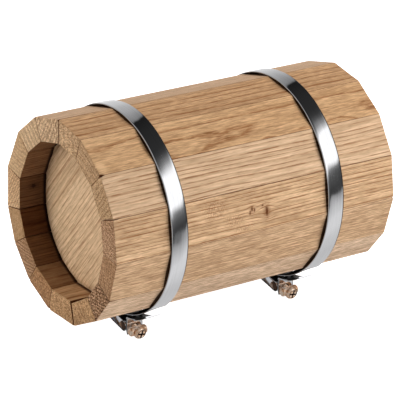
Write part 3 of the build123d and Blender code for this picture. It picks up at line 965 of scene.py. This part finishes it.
def head_profile(thickness):
    """(distance in from the outer face, radius) pairs of a head with both faces rounded off."""
    bevel = (thickness - HEAD_RIM) / 2
    far_bevel = bevel + HEAD_RIM
    edge = HEAD_RADIUS - HEAD_CLEARANCE
    profile = [(0, 0.1 * MM), (0, 20 * MM), (0, HEAD_FLAT)]
    for turn in quarter(HEAD_STEPS):
        profile.append((bevel * (1 - cos(turn)), HEAD_FLAT + (HEAD_EDGE - HEAD_FLAT) * sin(turn)))
    profile += [(bevel, edge), (far_bevel, edge), (far_bevel, HEAD_EDGE)]
    for turn in quarter(HEAD_STEPS):
        radius = HEAD_EDGE - (HEAD_EDGE - HEAD_FLAT) * (1 - cos(turn))
        profile.append((far_bevel + bevel * sin(turn), radius))
    profile.append((thickness, 0.1 * MM))
    return profile


def board_mesh(name, disc, origin, across, low, high):
    """The part of a head between two seams, cut a little short of each seam and closed over the cut."""
    part = bmesh.new()
    part.from_mesh(disc)
    for place, direction in ((low, across), (high, -across)):
        if place is None:
            continue
        geometry = part.verts[:] + part.edges[:] + part.faces[:]
        cut_at = origin + across * place + direction * SEAM_GAP
        result = bmesh.ops.bisect_plane(
            part, geom=geometry, plane_co=cut_at, plane_no=-direction, clear_outer=True
        )
        rim = [e for e in result["geom_cut"] if isinstance(e, bmesh.types.BMEdge)]
        bmesh.ops.contextual_create(part, geom=rim)
    bmesh.ops.recalc_face_normals(part, faces=part.faces)
    mesh = finished(part, name)
    shade(mesh, 40)
    return mesh


def build_heads():
    """Both heads, three boards each, with grain on the slant."""
    for end_index, end_name in enumerate(END_NAMES):
        low, high = union_box(board_names(end_name))
        inwards = Vector((1, 0, 0)) if end_name == "front" else Vector((-1, 0, 0))
        face_x = low.x if end_name == "front" else high.x
        origin = Vector((face_x, AXIS.y, AXIS.z))
        disc = lathe("head_disc", head_profile(high.x - low.x), origin, inwards, HEAD_SEGMENTS)
        turn = GRAIN_TURN[end_name]
        grain = Vector((0, cos(turn), sin(turn)))
        across = Vector((0, -sin(turn), cos(turn)))
        places = (None, *SEAM_PLACES, None)
        for index, name in enumerate(board_names(end_name)):
            mesh = board_mesh(name + "_oak", disc, origin, across, places[index], places[index + 1])
            seed = 40 + 10 * end_index + index
            look = dict(HEAD_LOOK, pith=(120, 10 - 25 * index))
            mesh.materials.append(Oak(f"oak_{name}", (grain, across, -inwards), origin, seed, look).material)
            new_piece(mesh.name, mesh, "barrel", "head_oak", name)
        dowel_mesh = frame["nodes"][f"{end_name}_head_dowels"].data
        dowel_look = Oak(f"dowel_{end_name}", (across, grain, inwards), origin, 70 + end_index, {}).material
        dowel_mesh.materials.clear()
        dowel_mesh.materials.append(dowel_look)


# ---------------------------------------------------------------- hoops and clamps
STRIP = 0.8 * MM
LUG_STRIP = 1.0 * MM
STRIP_EDGE = 0.12 * MM
ROLL_WIDTH = 0.9 * MM
ROLL_DEPTH = 0.35 * MM
ROLL_STEPS = 5
CROWN = 0.06 * MM
CROWN_STEPS = 4
DENT = 0.12 * MM
TONGUE_END = 32
STEP_START = 58
STEP_END = 46
RETURN_JOIN = 14
RETURN_END = 21
RETURN_BEND = 13 * MM
OVERLAP_RISE = STRIP + 0.15 * MM
RETURN_RISE = STRIP + 0.02 * MM

# The stave beside the lug, on to whose flat the band's rear edge is pulled, and how near it comes
TILTED_ON = stave_section(8)
TILT_GAP = 0.12 * MM


class Clamp:
    """Where one clamp's parts are, and how its section's coordinates lie in the row frame."""

    def __init__(self, end_name):
        self.name = end_name
        self.along = -joint_axis(f"{end_name}_clamp_open")
        self.off = Vector((0, self.along.z, -self.along.y))
        self.low, self.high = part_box(f"{end_name}_hoop")
        self.middle_x = (self.low.x + self.high.x) / 2
        outside = (self.high.y - self.low.y) / 2
        self.radius = outside - STRIP / 2
        slack = (AXIS.z + outside - self.high.z) / -self.off.z
        self.centre = (0.0, slack)
        self.nut_pin = self.section_of(f"{end_name}_nut_pin")
        self.head_pin = self.section_of(f"{end_name}_head_pin")

    def section_of(self, node):
        """A node's middle, as (along the screw, off the barrel)."""
        low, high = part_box(node)
        offset = (low + high) / 2 - AXIS
        return offset.dot(self.along), offset.dot(self.off)

    def place(self, along, off, x=None):
        """A row point from the section's coordinates."""
        point = AXIS + self.along * along + self.off * off
        point.x = self.middle_x if x is None else x
        return point

    def ring(self, radius, angle):
        """A point of a ring round the hoop's own centre, its angle in degrees towards the screw's tip."""
        return (radius * sin(radians(angle)), self.centre[1] + radius * cos(radians(angle)))


def arc_points(centre, radius, start, turn, step=2.0):
    """Points along an arc, start and turn in degrees, counter-clockwise in the section."""
    count = max(2, int(abs(turn) / step) + 1)
    angles = [radians(start + turn * index / count) for index in range(count + 1)]
    return [(centre[0] + radius * cos(a), centre[1] + radius * sin(a)) for a in angles]


def smooth_run(start, start_way, end, end_way, count=14):
    """Points of a cubic from start to end with the directions given."""
    reach = hypot(end[0] - start[0], end[1] - start[1])
    points = []
    for index in range(1, count + 1):
        t = index / count
        h1, h2, h3, h4 = 2*t**3 - 3*t**2 + 1, t**3 - 2*t**2 + t, -2*t**3 + 3*t**2, t**3 - t**2
        points.append(tuple(
            h1 * start[k] + h2 * reach * start_way[k] + h3 * end[k] + h4 * reach * end_way[k] for k in (0, 1)
        ))
    return points


def join(*runs):
    """One path from runs whose ends meet."""
    path = list(runs[0])
    for run in runs[1:]:
        path += [p for p in run if hypot(p[0] - path[-1][0], p[1] - path[-1][1]) > 0.01 * MM]
    return path


def hoop_path(clamp):
    """The band's centreline: round the barrel, out over its own tongue, round the nut pin and back."""
    centre, inner = clamp.centre, clamp.radius
    outer = inner + OVERLAP_RISE
    weld = outer + RETURN_RISE
    loop_radius = clamp.nut_pin[1] - centre[1] - outer

    def way(angle):
        return (-cos(radians(angle)), sin(radians(angle)))

    body = arc_points(centre, inner, 90 - TONGUE_END, 360 + TONGUE_END - STEP_START, 1.5)
    step_out = smooth_run(body[-1], way(STEP_START), clamp.ring(outer, STEP_END), way(STEP_END))
    overlap = arc_points(centre, outer, 90 - STEP_END, STEP_END)
    loop = arc_points(clamp.nut_pin, loop_radius, -90, -180, 9)
    bend = (-RETURN_BEND, clamp.nut_pin[1] + loop_radius)
    home = (cos(radians(RETURN_JOIN)), -sin(radians(RETURN_JOIN)))
    back = smooth_run(bend, (1, 0), clamp.ring(weld, RETURN_JOIN), home, 24)
    end = arc_points(centre, weld, 90 - RETURN_JOIN, RETURN_JOIN - RETURN_END)
    return join(body, step_out, overlap, loop, [bend], back, end)


LUG_GAP = 0.3 * MM
LUG_LEAN = 13
LUG_CURL = 42
LUG_WALL = 8.2 * MM
LUG_HEEL_RADIUS = 1.3 * MM
LUG_HEEL_TURN = 85.5
LUG_FOOT_RADIUS = 49 * MM
LUG_FOOT_TURN = 29


def turning_run(start, heading, radius, turn, step=4.0):
    """An arc that starts at a point with a heading in degrees, turning left where turn is positive."""
    side = 90 if turn > 0 else -90
    across = radians(heading + side)
    centre = (start[0] + radius * cos(across), start[1] + radius * sin(across))
    return arc_points(centre, radius, heading - side, turn, step)


def lug_path(clamp):
    """The hook lug's centreline, from its curl round the head pin to the tip of its toe."""
    pin_radius = (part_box(f"{clamp.name}_head_pin")[1].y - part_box(f"{clamp.name}_head_pin")[0].y) / 2
    radius = pin_radius + LUG_GAP + LUG_STRIP / 2
    curl = arc_points(clamp.head_pin, radius, LUG_LEAN + LUG_CURL, -LUG_CURL, 5)
    heading = LUG_LEAN - 90
    foot_of_wall = (
        curl[-1][0] + LUG_WALL * cos(radians(heading)), curl[-1][1] + LUG_WALL * sin(radians(heading))
    )
    heel = turning_run(foot_of_wall, heading, LUG_HEEL_RADIUS, -LUG_HEEL_TURN, 10)
    foot = turning_run(heel[-1], heading - LUG_HEEL_TURN, LUG_FOOT_RADIUS, LUG_FOOT_TURN, 1.5)
    return join(curl, heel, foot)


def strip_section(half_width, thickness):
    """(sideways, outwards) points round a flat strip, crowned and rolled down at its outer edges."""
    side = half_width - ROLL_WIDTH
    points = []
    for step in range(1, CROWN_STEPS):
        share = step / CROWN_STEPS
        points.append((side * share, thickness / 2 - CROWN * share**2))
    for turn in quarter(ROLL_STEPS, 0):
        points.append((side + ROLL_WIDTH * sin(turn), thickness / 2 - CROWN - ROLL_DEPTH * (1 - cos(turn))))
    points += [(half_width, -thickness / 2 + STRIP_EDGE), (half_width - STRIP_EDGE, -thickness / 2)]
    return [(-s, t) for s, t in reversed(points)] + [(0.0, thickness / 2)] + points


def tilt_pull(centre_point, thickness):
    """How far the rear edge of a band drops on to the flat of the stave beside the lug, as a vector."""
    start, end, _, outer = TILTED_ON
    offset = Vector((0, centre_point.y - AXIS.y, centre_point.z - AXIS.z))
    turn = ring_angle(centre_point.y, centre_point.z)
    place = (turn - start) / (end - start)
    if not 0 < place < 1:
        return Vector()
    flat = outer * cos((end - start) / 2) / cos(turn - (start + end) / 2)
    gap = offset.length - thickness / 2 - flat
    return offset.normalized() * -max(0.0, gap - TILT_GAP) * min(1.0, 6 * place * (1 - place))


def strip_mesh(name, clamp, path, thickness, dent=0.0, tilted=False):
    """A flat strip swept along a path in the clamp's section, its outer face on the path's outer side."""
    half_width = (clamp.high.x - clamp.low.x) / 2
    section = strip_section(half_width, thickness)
    loops = []
    for index, (along, off) in enumerate(path):
        before = path[max(0, index - 1)]
        after = path[min(len(path) - 1, index + 1)]
        tangent = Vector((after[0] - before[0], after[1] - before[1])).normalized()
        normal = Vector((tangent.y, -tangent.x))
        pull = tilt_pull(clamp.place(along, off), thickness) if tilted else Vector()
        loop = []
        for sideways, lift in section:
            point = clamp.place(along + normal.x * lift, off + normal.y * lift, clamp.middle_x + sideways)
            point += pull * (sideways / half_width + 1) / 2
            if dent and lift > 0:
                push = dent * (noise.noise(point * 95) - 0.6)
                point += clamp.along * normal.x * push + clamp.off * normal.y * push
            loop.append(point)
        loops.append(loop)
    return mesh_from_loops(name, loops, 50)


# How far off the ring the inner sides get the dark painted-shade steel, and how far off it the edges get it
# from
BAND_SHADE = (4.5 * MM, 8.2 * MM)
LUG_SHADE = (3.0 * MM, 3.0 * MM)


def paint_strip(mesh, clamp, outer, inner, shade_to, edges_from):
    """Give a strip two materials: polished, and a dark steel that paints shade inside near the barrel and on
    its outlying edges.
    """
    mesh.materials.append(outer)
    mesh.materials.append(inner)
    centre = clamp.place(*clamp.centre)
    for polygon in mesh.polygons:
        outwards = polygon.center - centre
        outwards.x = 0
        off_ring = outwards.length - clamp.radius
        inner_side = polygon.normal.dot(outwards.normalized()) < -0.35 and off_ring < shade_to
        edge = abs(polygon.normal.x) > 0.5 and off_ring > edges_from
        polygon.material_index = 1 if inner_side or edge else 0


SCREW_RADIUS = 2.5 * MM
SCREW_PITCH = 0.8 * MM
SCREW_HOLE = 2.85 * MM
SCREW_SEGMENTS = 48
SCREW_CHAMFER = 0.6 * MM
THREAD_DEPTH = 0.42 * MM
THREAD_STEPS = 8
SCREW_HEAD_RADIUS = 4.5 * MM
SCREW_HEAD_HEIGHT = 2.9 * MM
SCREW_HEAD_FILLET = 2.2 * MM
RECESS_LENGTH = 6.0 * MM
RECESS_WIDTH = 1.5 * MM
RECESS_DEPTH = 2.1 * MM
RECESS_TURN = radians(12)


def screw_reach(clamp):
    """How far the CAD screw reaches along its own axis: outer end of its head, and its tip."""
    vertices = frame["nodes"][f"{clamp.name}_screw"].data.vertices
    places = [(v.co - AXIS).dot(clamp.along) for v in vertices]
    return min(places), max(places)


def blade(origin, clamp, side, other):
    """One blade of the driver recess: a bar that tapers as it goes down."""
    corners = []
    for depth, half_length, half_width in (
        (-0.5 * MM, RECESS_LENGTH / 2 + 0.1 * MM, RECESS_WIDTH / 2),
        (RECESS_DEPTH, RECESS_LENGTH / 2 - 1.1 * MM, RECESS_WIDTH / 2 - 0.25 * MM),
    ):
        level = origin + clamp.along * depth
        corners.append([
            level + side * half_length * i + other * half_width * j
            for i, j in ((1, 1), (-1, 1), (-1, -1), (1, -1))
        ])
    return mesh_from_loops("blade", corners)


def screw_mesh(clamp):
    """A cross-recessed pan head on a threaded shank."""
    start, tip = screw_reach(clamp)
    length = tip - start
    face = clamp.place(start, clamp.nut_pin[1])
    side = Vector((1, 0, 0))
    other = clamp.along.cross(side)
    turns = [tau * step / SCREW_SEGMENTS for step in range(SCREW_SEGMENTS)]

    def rim_point(along, radius, turn):
        return face + clamp.along * along + (side * cos(turn) + other * sin(turn)) * radius

    profile = [(0, 0.05 * MM), (0, 1.0 * MM)]
    flat_radius = SCREW_HEAD_RADIUS - SCREW_HEAD_FILLET
    for turn in quarter(8, 0):
        profile.append((SCREW_HEAD_FILLET * (1 - cos(turn)), flat_radius + SCREW_HEAD_FILLET * sin(turn)))
    profile += [
        (SCREW_HEAD_HEIGHT - 0.1 * MM, SCREW_HEAD_RADIUS),
        (SCREW_HEAD_HEIGHT, SCREW_HEAD_RADIUS - 0.1 * MM),
        (SCREW_HEAD_HEIGHT, SCREW_RADIUS - 0.1 * MM),
    ]
    loops = [[rim_point(along, radius, turn) for turn in turns] for along, radius in profile]
    along = SCREW_HEAD_HEIGHT + 0.1 * MM
    while along < length:
        fade = min(1.0, (along - SCREW_HEAD_HEIGHT) / MM, (length - along) / MM + 0.2)
        chamfer = max(0.0, SCREW_CHAMFER - (length - along))
        ring = []
        for turn in turns:
            phase = (along / SCREW_PITCH + turn / tau) % 1.0
            depth = THREAD_DEPTH * abs(2 * phase - 1) * fade
            ring.append(rim_point(along, SCREW_RADIUS - depth - chamfer, turn))
        loops.append(ring)
        along += SCREW_PITCH / THREAD_STEPS
    body = mesh_from_loops(f"{clamp.name}_screw_copper", loops, 40)
    turned = side * cos(RECESS_TURN) + other * sin(RECESS_TURN)
    crossed = clamp.along.cross(turned)
    result = cut(body, blade(face, clamp, turned, crossed), blade(face, clamp, crossed, turned))
    shade(result, 40)
    return result


WELD_ANGLE = -27
WELD_OFFSET = 2.75 * MM
WELD_HEIGHT = 1.7 * MM
WELD_PROFILE = (
    (0, 1.6 * MM), (WELD_HEIGHT * 0.7, 1.5 * MM), (WELD_HEIGHT, 1.1 * MM), (WELD_HEIGHT * 1.04, 0.2 * MM)
)


def welds(clamp):
    """The two small domed spot welds of a lug, side by side."""
    turn = radians(WELD_ANGLE)
    outwards = clamp.off * cos(turn) + clamp.along * sin(turn)
    foot = clamp.ring(clamp.radius + STRIP / 2 - 0.1 * MM, WELD_ANGLE)
    bases = [clamp.place(*foot, clamp.middle_x + side * WELD_OFFSET) for side in (-1, 1)]
    return [lathe("weld", WELD_PROFILE, base, outwards, 32, 50) for base in bases]


def screw_hole(clamp):
    """The cutter of the hole that the screw goes through."""
    profile = [(clamp.head_pin[0] - 1 * MM, SCREW_HOLE), (clamp.nut_pin[0], SCREW_HOLE)]
    return lathe("hole", profile, clamp.place(0, clamp.nut_pin[1]), clamp.along, 48)


def build_clamps():
    """Both hoops with their lugs, pins and screws."""
    steel = polished_steel("polished_steel")
    # Painted shade: a dark steel for the strips' inner sides near the barrel and their outlying edges, where
    # shade falls
    shaded_steel = flat_metal("shaded_steel", rgba(0.05, 0.045, 0.04), 0.5)
    recess = flat_metal("recess_shadow", rgba(0.06, 0.02, 0.006), 0.6, 0.0)
    # Painted shade: the nut pins are painted dark brown for the shade they sit in
    pin_shade_metal = flat_metal("nut_pin_shade", rgba(0.12, 0.06, 0.035), 0.5)
    plating = copper("copper_plating")
    for end_name in END_NAMES:
        clamp = Clamp(end_name)
        band = strip_mesh(f"{end_name}_hoop_band", clamp, hoop_path(clamp), STRIP, DENT, tilted=True)
        band = cut(band, screw_hole(clamp))
        shade(band, 50)
        paint_strip(band, clamp, steel, shaded_steel, *BAND_SHADE)
        new_piece(band.name, band, "barrel", "hoop_steel", f"{end_name}_hoop")

        lug = strip_mesh(f"{end_name}_hook_lug_strip", clamp, lug_path(clamp), LUG_STRIP)
        lug = cut(lug, screw_hole(clamp))
        lug = joined(f"{end_name}_hook_lug_strip", lug, *welds(clamp))
        shade(lug, 50)
        paint_strip(lug, clamp, steel, shaded_steel, *LUG_SHADE)
        new_piece(lug.name, lug, "barrel", "hoop_steel", f"{end_name}_hook_lug")

        for pin, body in (("nut_pin", "barrel"), ("head_pin", f"{end_name}_head_pin")):
            mesh = refined_copy(f"{end_name}_{pin}")
            mesh.name = f"{end_name}_{pin}_copper"
            # Head pins take the copper plating, nut pins the dark brown painted shade
            mesh.materials.append(plating if pin == "head_pin" else pin_shade_metal)
            new_piece(mesh.name, mesh, body, "copper_plated", f"{end_name}_{pin}")

        screw = screw_mesh(clamp)
        screw.materials.append(plating)
        screw.materials.append(recess)
        face = clamp.place(screw_reach(clamp)[0], clamp.nut_pin[1])
        for polygon in screw.polygons:
            offset = polygon.center - face
            deep = offset.dot(clamp.along)
            away = (offset - clamp.along * deep).length
            in_recess = 0.1 * MM < deep < RECESS_DEPTH + 0.5 * MM and away < RECESS_LENGTH / 2
            polygon.material_index = 1 if in_recess else 0
        node = f"{end_name}_screw"
        new_piece(f"{node}_copper", screw, node, "copper_plated", node)


# ---------------------------------------------------------------- studio
FLOOR_SIZE = 8.0
PANEL_SIZE = 0.9
PANEL_DISTANCE = 1.5
# Soft lights: (name, angle round from the camera's side, elevation, watts)
PANELS = (
    ("right_panel", 75, 12, 13.5), ("right_back_panel", 110, 45, 11.5), ("left_back_panel", -110, 45, 10),
    ("left_panel", -85, 12, 10), ("front_panel", 40, 12, 3),
)


def build_camera():
    """The camera, at the photograph's place and direction."""
    data = bpy.data.cameras.new("camera")
    data.lens = LENS
    data.sensor_width = SENSOR
    data.clip_start = 0.05
    camera = linked("camera", data)
    forward = Vector((
        sin(VIEW_AZIMUTH) * cos(VIEW_ELEVATION),
        cos(VIEW_AZIMUTH) * cos(VIEW_ELEVATION),
        -sin(VIEW_ELEVATION),
    ))
    turn = forward.to_track_quat("-Z", "Y").to_matrix().to_4x4()
    camera.matrix_world = Matrix.Translation(CAMERA_PLACE) @ turn
    bpy.context.scene.camera = camera


def build_floor():
    """A plain pale floor at the level of the lowest point."""
    mesh = bpy.data.meshes.new("floor")
    half = FLOOR_SIZE / 2
    corners = [(-half, -half, 0), (half, -half, 0), (half, half, 0), (-half, half, 0)]
    mesh.from_pydata(corners, [], [(0, 1, 2, 3)])
    floor = linked("floor", mesh)
    material, graph, shader = new_material("floor_pale")
    shader.inputs["Base Color"].default_value = rgba(0.88, 0.88, 0.88)
    shader.inputs["Roughness"].default_value = 0.9
    shader.inputs["Emission Color"].default_value = rgba(1, 1, 1)
    path = graph.add("ShaderNodeLightPath")
    glow = graph.math("MULTIPLY_ADD", path.outputs["Is Camera Ray"], 0.85, 0.08)
    graph.feed(shader.inputs["Emission Strength"], glow)
    mesh.materials.append(material)
    floor.visible_glossy = False


def panel(name, azimuth, elevation, watts):
    """A soft square light round the object, placed by its angles from the camera's side.

    It lights the object but isn't mirrored in it: the world below holds what metal mirrors.
    """
    around = VIEW_AZIMUTH - radians(azimuth)
    rise = radians(elevation)
    out = Vector((-sin(around) * cos(rise), -cos(around) * cos(rise), sin(rise)))
    data = bpy.data.lights.new(name, "AREA")
    data.shape = "SQUARE"
    data.size = PANEL_SIZE
    data.energy = watts
    light = linked(name, data)
    light.location = AXIS + out * PANEL_DISTANCE
    light.rotation_euler = (-out).to_track_quat("-Z", "Y").to_euler()
    light.visible_glossy = False
    light.visible_camera = False


# How far the panels' edges lean, in degrees
SLANT = 9

# Brightness that polished metal mirrors, by the angle from overhead towards the camera's side
REFLECTIONS = (
    (-180, 0.66), (-140, 0.64), (-106, 0.95), (-94, 0.80), (-76, 0.66), (-64, 0.54), (-52, 0.43), (-43, 0.32),
    (-38.5, 0.26), (-35.5, 0.014), (-16, 0.024), (8, 0.032), (16, 0.05), (22, 0.11), (28, 0.32), (34, 0.85),
    (38, 1.4), (71, 1.4), (76, 0.80), (80, 0.24), (86, 0.12), (98, 0.06), (106, 0.05), (109, 0.38),
    (118, 0.58), (134, 0.86), (148, 0.86), (170, 0.70), (180, 0.66),
)


def build_world():
    """A dim even fill, with the studio's panels in what the metal mirrors."""
    world = bpy.data.worlds.new("studio")
    bpy.context.scene.world = world
    world.use_nodes = True
    graph = Graph(world.node_tree)
    coordinates = graph.add("ShaderNodeTexCoord")
    parts = graph.add("ShaderNodeSeparateXYZ")
    graph.feed(parts.inputs[0], coordinates.outputs["Generated"])
    angle = graph.math("ARCTAN2", graph.math("MULTIPLY", parts.outputs["Y"], -1.0), parts.outputs["Z"])
    lean = graph.spread(parts.outputs["X"], 0.47, 0.60, -SLANT / 360, SLANT / 360, smooth=False)
    share = graph.math("ADD", graph.math("MULTIPLY_ADD", angle, 1 / tau, 0.5), lean)
    ramp = graph.add("ShaderNodeValToRGB")
    graph.feed(ramp.inputs[0], share)
    elements = ramp.color_ramp.elements
    top = max(value for _, value in REFLECTIONS)
    while len(elements) < len(REFLECTIONS):
        elements.new(0.5)
    for element, (degrees_round, value) in zip(elements, REFLECTIONS):
        element.position = degrees_round / 360 + 0.5
        element.color = rgba(value / top, value / top, value / top)
    ahead = graph.spread(parts.outputs["X"], 0.60, 0.72)
    behind = graph.spread(parts.outputs["X"], 0.28, 0.05)
    seen = graph.mix(ahead, ramp.outputs["Color"], rgba(0.02, 0.02, 0.02))
    seen = graph.mix(behind, seen, rgba(0.28, 0.28, 0.28))
    mirrored = graph.add("ShaderNodeBackground")
    graph.feed(mirrored.inputs["Color"], seen)
    mirrored.inputs["Strength"].default_value = top
    ambient = graph.add("ShaderNodeBackground")
    ambient.inputs["Color"].default_value = rgba(1.0, 1.0, 1.0)
    ambient.inputs["Strength"].default_value = 0.05
    path = graph.add("ShaderNodeLightPath")
    mix = graph.add("ShaderNodeMixShader")
    graph.feed(mix.inputs[0], path.outputs["Is Glossy Ray"])
    graph.tree.links.new(ambient.outputs[0], mix.inputs[1])
    graph.tree.links.new(mirrored.outputs[0], mix.inputs[2])
    output = graph.add("ShaderNodeOutputWorld")
    graph.tree.links.new(mix.outputs[0], output.inputs[0])


build_camera()
build_floor()
build_world()
for light in PANELS:
    panel(*light)
bpy.context.scene.view_settings.view_transform = "Standard"

build_staves()
build_bung()
build_heads()
build_clamps()
